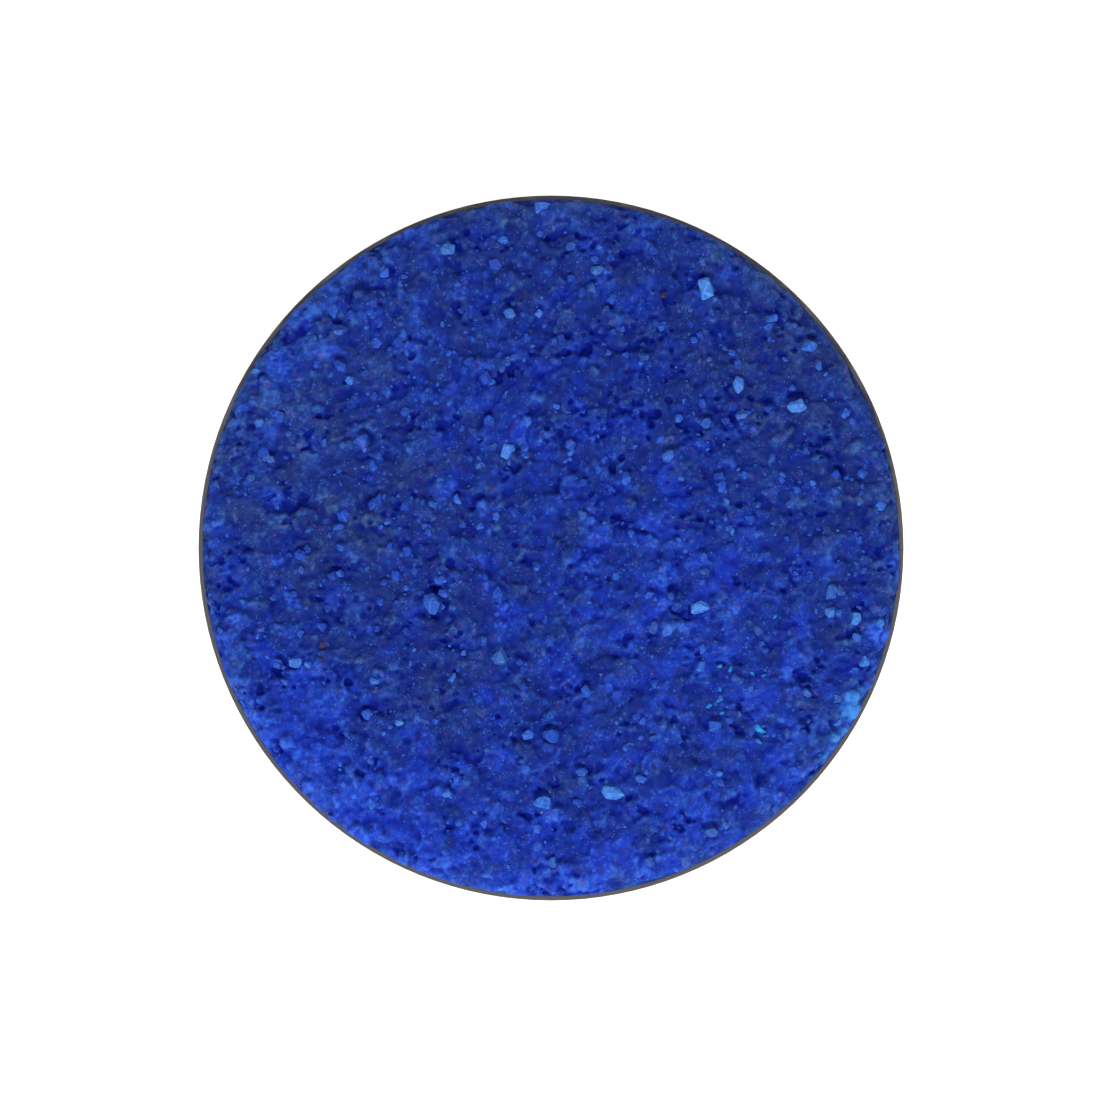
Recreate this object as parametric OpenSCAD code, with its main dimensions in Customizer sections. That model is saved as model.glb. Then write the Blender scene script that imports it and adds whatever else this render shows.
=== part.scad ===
// Disc air stone for an aquarium or pond, in millimetres.
// A porous mineral disc is bedded in a shallow plastic housing. Air comes in through a
// swivelling barbed elbow underneath, fills the chamber below the disc and leaves through it
// as fine bubbles. A ballast ring sinks the disc, and four suction cups are its feet.
// +Z is up, and the origin is on the tank floor under the middle of the disc.

/* [Housing] */
// Outside diameter of the housing at its rim
body_d = 100; // [99:0.5:104]
// Width of the thin rim that shows around the stone
lip_w = 0.6; // [0.5:0.05:0.8]
// How much smaller the housing's radius is at its base, for mould draft
draft = 0.8; // [0.4:0.1:1.2]
// Thickness of the base cover
cover_t = 1.6; // [1.5:0.1:2]
// Height of the ballast pocket above the base cover
pocket_h = 3.6; // [3.4:0.1:4.4]
// Thickness of the housing's floor
floor_t = 1.8; // [1.6:0.1:2.2]
// Height of the air chamber under the stone
chamber_h = 2.8; // [2.6:0.1:3.6]

/* [Stone] */
// Height of the stone's edge, from its underside to the rim
stone_edge_h = 7.4; // [6.5:0.1:9]
// Radius of the stone's rounded shoulder
shoulder_r = 2.8; // [2.8:0.1:3.6]
// How far the shoulder's top stands above the rim
shoulder_rise = 2.6; // [2:0.1:2.7]
// How far the middle of the stone stands above its shoulder
crown_rise = 0.8; // [0.4:0.1:1.2]

/* [Feet] */
// Height of each suction cup, from the tank floor to the base cover
foot_h = 8; // [8:0.5:10]
// Radius of a suction cup's lip
cup_r = 10; // [9:0.5:10]
// Distance from the middle to each suction cup's centre
cup_at = 34; // [34:0.5:35]

/* [Inlet] */
// Radius over the hose barb's crests, for airline of 4 mm bore
barb_r = 2.4; // [2.3:0.05:2.5]
// Radius of the air passage through the elbow
passage_r = 1.3; // [1:0.1:1.4]
// Distance from the swivel's axis to the barb's tip
barb_reach = 22.2; // [22:0.1:22.4]

/* [Hidden] */
$fn = 96;
eps = 0.1; // how far a cutting tool runs past the face that it cuts
stone_blue = [0.13, 0.23, 0.58];
housing_grey = [0.34, 0.33, 0.35];

// Levels, from the tank floor up
z_cover = foot_h;
z_pocket = z_cover + cover_t;
z_ceiling = z_pocket + pocket_h; // underside of the housing's floor
z_floor = z_ceiling + floor_t;
z_stone = z_floor + chamber_h;
z_rim = z_stone + stone_edge_h;
seal_t = 0.8;
z_ledge = z_stone - seal_t;

// Housing
rim_r = body_d / 2;
skirt_r = rim_r - 2;   // inside of the skirt around the base cover
seat_r = rim_r - 2.1;  // inside of the wall at the ledge
ledge_r = rim_r - 4.6; // inner edge of the ledge that carries the stone
edge_round = 1.2;
rim_band = 0.4;
chamber_ribs = 8;
chamber_rib_w = 1.6;
chamber_pegs = [[8, 18], [16, 33]]; // count and distance of each circle of pegs
peg_r = 1.2;
pocket_ribs = 8;
pocket_rib_w = 1.2;

// Stone
stone_gap = 0.3; // sealant between the stone's side and the wall
seal_below_rim = 1.5;

// Ballast
ballast_r = [9.5, 29.5];
ballast_t = pocket_h - 0.2;
ballast_chamfer = 0.5;

// Base cover and its screws
cover_clearance = 0.2;
cover_hole_r = 8.5;
flood_at = [32.4, 36];
flood_size = [2, 8];
screw_count = 4;
screw_at = rim_r - 8.5;
screw_boss_r = 3.2;
pilot_depth = 4.4;
thread_r = 1.3;
thread_root_r = 0.95;
thread_pitch = 0.8;
thread_turns = 5;
screw_tip = 0.3;
screw_play = 0.3;
head_r = 2.75;
head_h = 1.45;
recess = [3, 0.6, 0.8];

// Suction cups
cup_count = 4;
neck_r = 2.6;
neck_play = 0.1;
collar_r = 4.2;
collar_h = 1.4;
button_r = 3.9;
button_h = 2.8;
button_round = 1.6;
hollow_h = 3.2;
lip_w_flat = 0.7;
lip_t = 0.5;
tab_r = 2;
tab_t = 0.9;

// Swivel and elbow
bore_r = 3.6;
boss_r = 6.2;
z_boss = z_pocket - 0.2;
stem_r = 3.5;
stem_chamfer = 0.4;
flange_r = 5.6;
flange_t = 1.1;
z_flange = z_boss - 0.1;
elbow_r = 3.9;
elbow_round = 2.4;
z_barb = 4.4;
arm_r = 3.1;
arm_end = 7.4;
barb_root_r = 2;
barb_crests = 3;
barb_first = 9;
barb_pitch = 4.2;
barb_land = 0.8;
barb_slope = 2.4;
tip_chamfer = 0.3;
o_ring_t = 1.1;
o_ring_z = [z_boss + 1.6, z_boss + 3.9];
groove_r = 2.45;
groove_w = 1.3;
washer_t = 0.33;
z_washer = z_floor + 0.03;
clip_groove_r = 2.9;
clip_r = 4.8;
clip_t = 0.5;
clip_mouth = 3.4;
clip_play = 0.03;
z_clip = z_washer + washer_t + 0.05;
z_stem_top = z_clip + clip_t + 0.7;

// Radius of the housing's inner wall, which leans outward up to the thin rim
function wall_r(z) = seat_r + (z - z_ledge) * (rim_r - lip_w - seat_r) / (z_rim - z_ledge);

// Points of an arc in the profile plane, from angle a0 to a1
function arc(centre, r, a0, a1, n = 8) =
    [for (i = [0:n]) centre + r * [cos(a0 + (a1 - a0) * i / n), sin(a0 + (a1 - a0) * i / n)]];

// One crest of the barb: steep towards the elbow, sloping towards the tip
function crest(z) = [
    [barb_root_r, z], [barb_r, z], [barb_r, z + barb_land],
    [barb_root_r, z + barb_land + barb_slope]
];

module ring(r_in, r_out, z, h)
    rotate_extrude() translate([r_in, z]) square([r_out - r_in, h]);

module rod(r, z0, z1)
    translate([0, 0, z0]) cylinder(r = r, h = z1 - z0);

module rib(r0, r1, w, z0, z1)
    translate([r0, -w / 2, z0]) cube([r1 - r0, w, z1 - z0]);

module around(count, radius = 0, first = 0)
    for (i = [0:count - 1]) rotate(first + i * 360 / count) translate([radius, 0, 0]) children();

// Porous disc of blue bonded mineral: a tapered plug with a rounded shoulder and a low crown
module mineral_disc() color(stone_blue) {
    z_top = z_rim + shoulder_rise;
    z_widest = z_top - shoulder_r;
    flat_r = wall_r(z_widest) - stone_gap - shoulder_r;
    rotate_extrude() polygon(concat(
        [[0, z_stone], [wall_r(z_stone) - stone_gap, z_stone]],
        arc([flat_r, z_widest], shoulder_r, 0, 90, 12),
        [for (i = [1:10]) [flat_r * (1 - i / 10), z_top + crown_rise * (1 - pow(1 - i / 10, 2))]]
    ));
}

// Housing: outer wall with its thin rim, floor, stone ledge, swivel boss, screw bosses and ribs
module housing_pan() color(housing_grey)
    difference() {
        union() {
            rotate_extrude() polygon(concat(
                [[0, z_ceiling], [skirt_r, z_ceiling], [skirt_r, z_cover]],
                arc([rim_r - draft - edge_round, z_cover + edge_round], edge_round, -90, 0, 6),
                [[rim_r, z_rim - rim_band], [rim_r, z_rim], [rim_r - lip_w, z_rim],
                 [seat_r, z_ledge], [ledge_r, z_ledge], [ledge_r, z_floor], [0, z_floor]]
            ));
            rod(boss_r, z_boss, z_floor);
            around(chamber_ribs)
                rib(boss_r + 3.5, ledge_r - 0.6, chamber_rib_w, z_floor - eps, z_stone);
            for (circle = chamber_pegs)
                around(circle[0], circle[1], 180 / circle[0]) rod(peg_r, z_floor - eps, z_stone);
            around(pocket_ribs, 0, 180 / pocket_ribs)
                rib(ballast_r[1] + 0.5, skirt_r + 0.3, pocket_rib_w, z_pocket + 0.2, z_ceiling + eps);
            around(screw_count, screw_at) rod(screw_boss_r, z_pocket, z_ceiling + eps);
        }
        rod(bore_r, z_boss - eps, z_floor + eps);
        around(screw_count, screw_at) rod(thread_r + 0.02, z_pocket - eps, z_pocket + pilot_depth);
    }

// Cured sealant: a flat bed on the ledge, and the thin wall of it around the stone's side
module edge_seal() color("gainsboro") {
    z_top = z_rim - seal_below_rim;
    rotate_extrude() polygon([
        [ledge_r, z_ledge], [wall_r(z_ledge), z_ledge], [wall_r(z_top), z_top],
        [wall_r(z_top) - stone_gap, z_top], [wall_r(z_stone) - stone_gap, z_stone],
        [ledge_r, z_stone]
    ]);
}

// Coated iron ring that makes the air-filled disc heavier than the water it displaces
module ballast_ring() color("black") {
    r0 = ballast_r[0];
    r1 = ballast_r[1];
    z1 = z_pocket + ballast_t;
    c = ballast_chamfer;
    rotate_extrude() polygon([
        [r0 + c, z_pocket], [r1 - c, z_pocket], [r1, z_pocket + c], [r1, z1 - c],
        [r1 - c, z1], [r0 + c, z1], [r0, z1 - c], [r0, z_pocket + c]
    ]);
}

// Plate that closes the ballast pocket, carries the suction cups and lets water in and out
module base_cover() color(housing_grey)
    difference() {
        ring(cover_hole_r, skirt_r - cover_clearance, z_cover, cover_t);
        around(cup_count, cup_at, 45) rod(neck_r + neck_play, z_cover - eps, z_pocket + eps);
        around(screw_count, screw_at) {
            rod(thread_r + screw_play, z_cover - eps, z_pocket + eps);
            translate([0, 0, z_cover - eps])
                cylinder(r1 = head_r + 2 * eps, r2 = thread_r + screw_play, h = head_h - 0.05);
        }
        for (r = flood_at) around(4, r)
            translate([-flood_size[0] / 2, -flood_size[1] / 2, z_cover - eps])
                cube([flood_size[0], flood_size[1], cover_t + 2 * eps]);
    }

// Countersunk self-tapping screw, driven up from underneath
module cover_screw() {
    z_thread = z_cover + head_h;
    difference() {
        rotate_extrude() polygon(concat(
            [[0, z_cover], [head_r, z_cover], [thread_root_r, z_thread]],
            [for (i = [1:thread_turns]) each [
                [thread_r, z_thread + (i - 0.5) * thread_pitch],
                [thread_root_r, z_thread + i * thread_pitch]
            ]],
            [[0, z_thread + thread_turns * thread_pitch + screw_tip]]
        ));
        for (turn = [0, 90]) rotate(turn)
            translate([-recess[0] / 2, -recess[1] / 2, z_cover - eps])
                cube([recess[0], recess[1], recess[2] + eps]);
    }
}

module cover_screws() color("silver")
    around(screw_count, screw_at) cover_screw();

// Suction cup: soft bell, collar, neck through the base cover, button behind it, release tab
module suction_cup(i) color("lightsteelblue")
    rotate(45 + i * 360 / cup_count) translate([cup_at, 0, 0]) {
        bell_h = foot_h - collar_h;
        hollow_r = cup_r - lip_w_flat;
        rotate_extrude() polygon(concat(
            [for (k = [0:8]) [hollow_r * k / 8, hollow_h * (1 - pow(k / 8, 2))]],
            [[cup_r, 0]],
            [for (k = [0:10]) [
                cup_r - (cup_r - collar_r) * k / 10,
                lip_t + (bell_h - lip_t) * pow(k / 10, 1.6)
            ]],
            [[collar_r, foot_h], [neck_r, foot_h], [neck_r, z_pocket], [button_r, z_pocket]],
            arc([button_r - button_round, z_pocket + button_h - button_round], button_round, 0, 90, 6),
            [[0, z_pocket + button_h]]
        ));
        translate([cup_r + 1, 0, 0]) rod(tab_r, lip_t / 2, lip_t / 2 + tab_t);
    }

// Barbed elbow: stem with its grooves, flange, bend and barb, drilled through.
// The barb points along -Y at rest.
module inlet_elbow() color("whitesmoke")
    rotate(-90) difference() {
        union() {
            rotate_extrude() polygon(concat(
                [[0, z_barb - elbow_r]],
                arc([elbow_r - elbow_round, z_barb - elbow_r + elbow_round], elbow_round, -90, 0, 6),
                [[elbow_r, z_flange - flange_t], [flange_r, z_flange - flange_t],
                 [flange_r, z_flange], [stem_r, z_flange], [stem_r, z_stem_top - stem_chamfer],
                 [stem_r - stem_chamfer, z_stem_top], [0, z_stem_top]]
            ));
            translate([0, 0, z_barb]) rotate([0, 90, 0]) {
                rod(arm_r, 0, arm_end);
                rotate_extrude() polygon(concat(
                    [[0, arm_end - eps], [barb_root_r, arm_end - eps]],
                    [for (i = [0:barb_crests - 1]) each crest(barb_first + barb_pitch * i)],
                    [[barb_root_r, barb_reach - tip_chamfer],
                     [barb_root_r - tip_chamfer, barb_reach], [0, barb_reach]]
                ));
            }
        }
        rod(passage_r, z_barb, z_stem_top + eps);
        translate([0, 0, z_barb]) rotate([0, 90, 0]) rod(passage_r, -passage_r, barb_reach + eps);
        for (z = o_ring_z) ring(groove_r, stem_r + eps, z - groove_w / 2, groove_w);
        ring(clip_groove_r, stem_r + eps, z_clip - clip_play, clip_t + 2 * clip_play);
    }

// Rubber ring in a groove of the stem, which seals it in the housing's boss
module o_ring(i) color("black")
    rotate_extrude() translate([groove_r + o_ring_t / 2 + 0.02, o_ring_z[i]]) circle(d = o_ring_t);

// Low-friction washer between the clip and the housing's floor
module thrust_washer() color("white")
    ring(stem_r + 0.1, boss_r - 0.2, z_washer, washer_t);

// Spring steel clip with an open mouth, which keeps the stem in the boss
module retaining_clip() color("silver")
    difference() {
        ring(clip_groove_r + clip_play, clip_r, z_clip, clip_t);
        translate([0, -clip_mouth / 2, z_clip - eps]) cube([clip_r + eps, clip_mouth, clip_t + 2 * eps]);
    }

mineral_disc();
housing_pan();
edge_seal();
ballast_ring();
base_cover();
cover_screws();
suction_cup(0);  // suction_cup_1
suction_cup(1);  // suction_cup_2
suction_cup(2);  // suction_cup_3
suction_cup(3);  // suction_cup_4
inlet_elbow();
o_ring(0);  // o_ring_lower
o_ring(1);  // o_ring_upper
thrust_washer();
retaining_clip();
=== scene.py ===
import math

import bmesh
import bpy
import numpy as np
from mathutils import Matrix, Vector


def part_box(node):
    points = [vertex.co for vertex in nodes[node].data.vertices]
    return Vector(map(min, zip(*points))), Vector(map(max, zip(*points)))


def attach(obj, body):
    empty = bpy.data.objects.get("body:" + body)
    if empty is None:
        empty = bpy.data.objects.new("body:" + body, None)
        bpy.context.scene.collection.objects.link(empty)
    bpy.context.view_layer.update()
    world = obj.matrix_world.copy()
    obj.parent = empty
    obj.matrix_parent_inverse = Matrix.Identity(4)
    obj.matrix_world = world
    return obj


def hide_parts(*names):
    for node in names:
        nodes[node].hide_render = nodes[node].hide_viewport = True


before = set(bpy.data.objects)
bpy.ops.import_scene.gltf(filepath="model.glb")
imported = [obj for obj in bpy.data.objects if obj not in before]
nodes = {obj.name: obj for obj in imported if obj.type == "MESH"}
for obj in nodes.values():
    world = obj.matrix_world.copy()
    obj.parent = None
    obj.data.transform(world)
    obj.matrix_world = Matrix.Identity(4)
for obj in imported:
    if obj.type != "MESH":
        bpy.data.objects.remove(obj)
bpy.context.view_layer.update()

MM = 0.001
BODY = "housing"

# Sizes in millimetres. Those of the housing and the stone come from the frame.
pan_low, pan_high = (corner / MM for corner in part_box("housing_pan"))
stone_low, stone_high = (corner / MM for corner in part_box("mineral_disc"))
RIM_R = (pan_high.x - pan_low.x) / 2
Z_RIM = pan_high.z
Z_STONE = stone_low.z
LIP_W = 0.6                  # width of the housing's thin rim
CROWN_RISE = 0.8             # how far the stone's middle stands above its shoulder
Z_TOP = stone_high.z - CROWN_RISE
EDGE_R = RIM_R - LIP_W - 0.02
Z_EDGE = Z_RIM - 0.15        # the stone's edge lies a little below the rim
SHOULDER_W = 3.1
FLAT_R = EDGE_R - SHOULDER_W
SHOULDER_H = Z_TOP - Z_EDGE
SHOULDER_L = math.pi / 4 * (SHOULDER_W + SHOULDER_H)  # about the length of its quarter ellipse
REACH = FLAT_R + SHOULDER_L  # from the middle to the edge, along the surface
SEAT_R = RIM_R - 2.7         # the stone's radius at its underside

rng = np.random.default_rng(20)


# ---------------------------------------------------------------- meshes

def add_object(name, mesh, body=BODY, replaces=()):
    obj = bpy.data.objects.new(name, mesh)
    bpy.context.scene.collection.objects.link(obj)
    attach(obj, body)
    if replaces:
        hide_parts(*replaces)
    return obj


def mesh_from(name, points, corners, sizes, smooth=True, flat_map=None):
    """A mesh from points in millimetres, the faces' corners in one list, and each face's size.
    flat_map is where each corner lies in the unit square that its material is baked on."""
    mesh = bpy.data.meshes.new(name)
    corners = np.asarray(corners, np.int32).ravel()
    sizes = np.asarray(sizes, np.int32)
    mesh.vertices.add(len(points))
    mesh.vertices.foreach_set("co", (np.asarray(points) * MM).astype(np.float32).ravel())
    mesh.loops.add(len(corners))
    mesh.loops.foreach_set("vertex_index", corners)
    mesh.polygons.add(len(sizes))
    mesh.polygons.foreach_set("loop_start", (np.cumsum(sizes) - sizes).astype(np.int32))
    mesh.polygons.foreach_set("use_smooth", np.full(len(sizes), smooth))
    if flat_map is not None:
        layer = mesh.uv_layers.new(name="OFBake")
        layer.data.foreach_set("uv", np.asarray(flat_map, np.float32).ravel())
    mesh.update(calc_edges=True)
    mesh.validate()
    return mesh


def polar(angle, distance):
    turn = math.radians(angle)
    return distance * math.cos(turn), distance * math.sin(turn)


def add_attribute(mesh, name, values, domain="POINT"):
    layer = mesh.attributes.new(name, "FLOAT", domain)
    layer.data.foreach_set("value", np.asarray(values, np.float32))


# ---------------------------------------------------------------- the stone's relief

# The fields are square grids over the stone's unrolled surface, with their middle at its middle
CELL = 0.1             # millimetres
CELLS = 1024
axis = (np.arange(CELLS) - CELLS / 2 + 0.5) * CELL
grid_x, grid_y = np.meshgrid(axis, axis)
freq_x, freq_y = np.meshgrid(np.fft.fftfreq(CELLS, CELL), np.fft.fftfreq(CELLS, CELL))


def noise_field(wavelength, spread=0.45, stretch=1.0, lean=0.0):
    """Seeded noise around one wavelength, in units of its own deviation. It is longer along an
    axis that leans by that many degrees, by the factor stretch."""
    c, s = math.cos(math.radians(lean)), math.sin(math.radians(lean))
    along = (freq_x * c + freq_y * s) * stretch
    across = freq_y * c - freq_x * s
    f = np.hypot(along, across) + 1e-9
    band = np.exp(-(np.log(f * wavelength) / spread) ** 2)
    field = np.fft.ifft2(np.fft.fft2(rng.standard_normal((CELLS, CELLS))) * band).real
    return field / field.std()


def blurred(field, radius):
    """A field blurred by a bell curve of this deviation."""
    keep = np.exp(-2 * (math.pi * radius) ** 2 * (freq_x ** 2 + freq_y ** 2))
    return np.fft.ifft2(np.fft.fft2(field) * keep).real


def step(low, high, value):
    """0 below low, 1 above high, and a smooth curve between them."""
    t = np.clip((value - low) / (high - low), 0, 1)
    return t * t * (3 - 2 * t)


# Where the stone's colour changes: degrees anticlockwise from +X, share of the radius, size in
# millimetres, and how vivid (above 0) or dull (below 0) the blue is there
# Partly painted light: the vivid zones along the lower edge, from 213 to 315 degrees, paint in the
# brighter light on the side that faces the key light; the other zones are the stone's own colour
COLOUR_AND_LIGHT_ZONES = [
    (213, 0.95, 14, 0.9), (240, 0.97, 14, 1.0), (265, 0.98, 13, 0.9), (290, 0.97, 12, 0.7),
    (315, 0.92, 12, 0.5), (338, 0.38, 15, 0.75), (110, 0.42, 9, 0.35), (70, 0.35, 7, 0.2),
    (172, 0.60, 14, -1.0), (226, 0.52, 7, -0.9), (38, 0.88, 15, -1.0), (8, 0.88, 9, -0.5),
    (97, 0.85, 11, -0.4), (182, 0.92, 7, 0.3),
]
# Where it is pale, as if powdered: the same, with how pale it is
PALE_ZONES = [
    (150, 0.97, 14, 0.75), (128, 0.90, 8, 0.3), (330, 0.97, 6, 0.7), (322, 0.94, 5, 0.4),
    (200, 0.97, 6, 0.2),
]
# Where a sky-blue mineral shows through: the same, with how strongly
SKY_ZONES = [
    (331.5, 0.96, 1.5, 1.5), (333.5, 0.945, 1.1, 1.3), (327, 0.975, 1.3, 1.2),
    (323, 0.98, 1.0, 1.0), (336, 0.97, 0.9, 1.0), (347, 0.955, 0.9, 1.1), (149, 0.97, 1.0, 0.7),
    (262, 0.985, 1.2, 0.8),
]
# Where it is more open, with more recesses and more painted shade
OPEN_ZONES = [(72, 0.45, 13, 0.8), (40, 0.55, 9, 0.5), (215, 0.45, 8, 0.5), (262, 0.66, 9, 0.3)]
# The mix lies in soft layers over each other: their size and how high each stands
LAYERS = [(8.0, 0.36), (4.5, 0.27), (2.4, 0.16)]
STREAK_LEAN = 8        # degrees that the layers lean
# Grains from coarse to fine: how many, their least and greatest radius, height as a share of the
# radius, number of sides, how steep the sides are, and the range of shades
GRAIN_SIZES = [
    (2300, (0.8, 2.2), 0.22, 7, 0.8, (0.2, 0.7)),
    (7500, (0.4, 1.0), 0.20, 6, 0.8, (0.05, 0.9)),
    (30000, (0.18, 0.42), 0.18, 5, 0.8, (0, 1)),
]
GRAIN_BLUR = 0.15      # the grains' edges are rounded by this radius
GRAIN_HUES = 61.7      # turns a grain's shade into a hue that doesn't follow it
MEAN_SHADE = 0.42
PIT_DEPTH = 0.5
SHOULDER_SINK = 0.25   # share of a chip's width that it lies deeper on the shoulder
SHOULDER_PAINTED_LIGHT = 0.28   # painted light: how much lighter the stone is painted towards its edge, where its shoulder catches more light
OUTSIDE = -99          # a height below every point of the relief


def zone_field(zones):
    """The sum of soft round areas."""
    field = np.zeros((CELLS, CELLS))
    for angle, share, size, amount in zones:
        x, y = polar(angle, share * RIM_R)
        field += amount * np.exp(-((grid_x - x) ** 2 + (grid_y - y) ** 2) / size ** 2)
    return field


def stamp_grains(relief, tone, count, radii, height, facets, slope, shades):
    """Lays faceted grains over the relief: each is a tilted top plane cut by steep side planes.
    A grain's middle stands at most height times its radius above the relief. tone takes the
    shade of the grain that lies on top."""
    limit = CELLS / 2 * CELL - 1
    x, y = rng.uniform(-limit, limit, (2, count))
    radius = radii[0] + (radii[1] - radii[0]) * rng.beta(1.2, 2.4, count)
    col = np.round(x / CELL + CELLS / 2 - 0.5).astype(int)
    row = np.round(y / CELL + CELLS / 2 - 0.5).astype(int)
    ground = relief[row, col]
    top = height * radius * rng.uniform(0.1, 1.0, count)
    tilt = rng.normal(0, 0.3, (2, count))
    spread = np.arange(facets)[:, None] + rng.uniform(-0.3, 0.3, (facets, count))
    angles = rng.uniform(0, 2 * math.pi, count) + 2 * math.pi * spread / facets
    reach = radius * rng.uniform(0.6, 1.05, (facets, count))
    steep = slope * rng.uniform(0.6, 1.5, (facets, count))
    shade = rng.uniform(*shades, count)
    half = int(math.ceil(radii[1] * 1.1 / CELL))
    for dr in range(-half, half + 1):
        for dc in range(-half, half + 1):
            c, r = col + dc, row + dr
            inside = (c >= 0) & (c < CELLS) & (r >= 0) & (r < CELLS)
            c, r = c.clip(0, CELLS - 1), r.clip(0, CELLS - 1)
            dx, dy = axis[c] - x, axis[r] - y
            value = top + tilt[0] * dx + tilt[1] * dy
            for k in range(facets):
                side = steep[k] * (reach[k] - dx * np.cos(angles[k]) - dy * np.sin(angles[k]))
                value = np.minimum(value, side)
            value = np.where(inside & (value > 0), ground + value, OUTSIDE)
            np.maximum.at(relief, (r, c), value)
            won = (value > OUTSIDE / 2) & (value >= relief[r, c] - 1e-9)
            tone[r[won], c[won]] = shade[won]


def bed_chips(relief, spots):
    """Draws the mix up round each chip, and leaves a recess along one side of it."""
    for x, y, length, *_ in spots:
        cells = int(1.2 * length / CELL) + 2
        col, row = int(x / CELL + CELLS / 2), int(y / CELL + CELLS / 2)
        rows = slice(max(row - cells, 0), row + cells + 1)
        cols = slice(max(col - cells, 0), col + cells + 1)
        dx, dy = np.meshgrid(axis[cols] - x, axis[rows] - y)
        far = np.hypot(dx, dy) / (length / 2)
        open_side = rng.normal(math.pi / 2, 0.9)
        facing = 0.5 + 0.5 * np.cos(np.arctan2(dy, dx) - open_side)
        lift = 0.10 * np.exp(-(far / 1.2) ** 2)
        depth = 0.24 * rng.uniform(0.2, 1.2) * step(0.8, 1.9, length)
        recess = depth * np.exp(-((far - 1.25) / 0.4) ** 2) * facing ** 2
        relief[rows, cols] += length * (lift - recess)


def stone_relief(spots):
    """The stone's height over its smooth form, and the fields that its colours follow, among them
    painted shade in its recesses and painted light on its ridges, higher layers and shoulder.
    """
    relief = 0.13 * noise_field(17) + 0.09 * noise_field(8, 0.45, 1.5, STREAK_LEAN)
    shelves = np.zeros_like(relief)
    for size, height in LAYERS:
        shelf = step(-0.14, 0.14, noise_field(size, 0.7, 1.6, STREAK_LEAN)) - 0.5
        relief += height * shelf
        shelves += shelf
    relief += 0.06 * noise_field(2.2, 0.5, 1.2, STREAK_LEAN) + 0.02 * noise_field(1.1)
    binder = relief.copy()
    tone = np.full_like(relief, 0.5)
    for grains in GRAIN_SIZES:
        stamp_grains(relief, tone, *grains)
    grain = step(0.0, 0.04, relief - binder)
    relief = blurred(relief, GRAIN_BLUR)
    bed_chips(relief, spots)
    openness = zone_field(OPEN_ZONES)
    pits = noise_field(3.0, 0.8, 1.2, STREAK_LEAN) + 0.6 * noise_field(8) + 0.35 * noise_field(1.1)
    cluster = noise_field(12, 0.7) + 1.6 * openness
    relief = relief - PIT_DEPTH * step(1.8, 4.0, pits + 0.65 * cluster)
    relief -= relief.mean()
    # Painted shade: how deep each point lies below its surroundings, more so in the clusters of
    # pits; the material paints these recesses dark navy, as shade falls there
    near = np.clip(blurred(relief, 0.45) - relief, 0, 2)
    hollow = near + 0.7 * np.clip(blurred(relief, 1.3) - relief, 0, 2)
    hollow *= 0.4 + 0.85 * step(-0.8, 1.4, cluster)
    # Painted highlight: how far each ridge stands above its surroundings, which paints it lighter
    # below
    ridge_highlight = np.clip(relief - blurred(relief, 0.6), 0, 1)
    vivid = 0.5 + 0.40 * zone_field(COLOUR_AND_LIGHT_ZONES) + 0.14 * noise_field(10, 0.7)
    vivid += 0.06 * noise_field(4, 0.6, 1.6, STREAK_LEAN) + 0.04 * noise_field(1.8)
    vivid += 0.34 * grain * (tone * GRAIN_HUES % 1 - MEAN_SHADE)
    # The lightness field: the stone's own mottling, pale zones and grain tones, plus painted light
    # where the ridges and the higher layers are painted lighter and towards the shoulder, and
    # painted shade where the open zones are painted darker
    light = 0.43 + 0.075 * noise_field(10, 0.8) + 0.045 * noise_field(4, 0.6, 1.3, STREAK_LEAN)
    light += 0.035 * noise_field(1.6) + 0.025 * noise_field(0.8)
    light += 0.60 * grain * (tone - MEAN_SHADE) + 0.8 * ridge_highlight + 0.065 * shelves
    light += 0.25 * zone_field(PALE_ZONES) - 0.10 * openness
    light += SHOULDER_PAINTED_LIGHT * step(FLAT_R - 2.5, REACH, np.hypot(grid_x, grid_y))
    sky = zone_field(SKY_ZONES) + 0.15 * noise_field(1.6, 0.6) + 0.08 * noise_field(0.6)
    warm = step(0.9, 2.4, noise_field(2.6, 0.6) + 0.3 * noise_field(0.9))
    return {
        "relief": relief, "smooth": blurred(relief, 0.3), "hollow": hollow,
        "vivid": np.clip(vivid, 0, 1), "light": np.clip(light, 0, 1), "warm": warm,
        "sky": step(0.52, 0.66, sky),
    }


def sampled(field, x, y):
    """A field's values at points of the unrolled surface, by linear interpolation."""
    c = np.clip(x / CELL + CELLS / 2 - 0.5, 0, CELLS - 1.001)
    r = np.clip(y / CELL + CELLS / 2 - 0.5, 0, CELLS - 1.001)
    c0, r0 = c.astype(int), r.astype(int)
    fc, fr = c - c0, r - r0
    upper = field[r0, c0] * (1 - fc) + field[r0, c0 + 1] * fc
    lower = field[r0 + 1, c0] * (1 - fc) + field[r0 + 1, c0 + 1] * fc
    return upper * (1 - fr) + lower * fr


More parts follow.
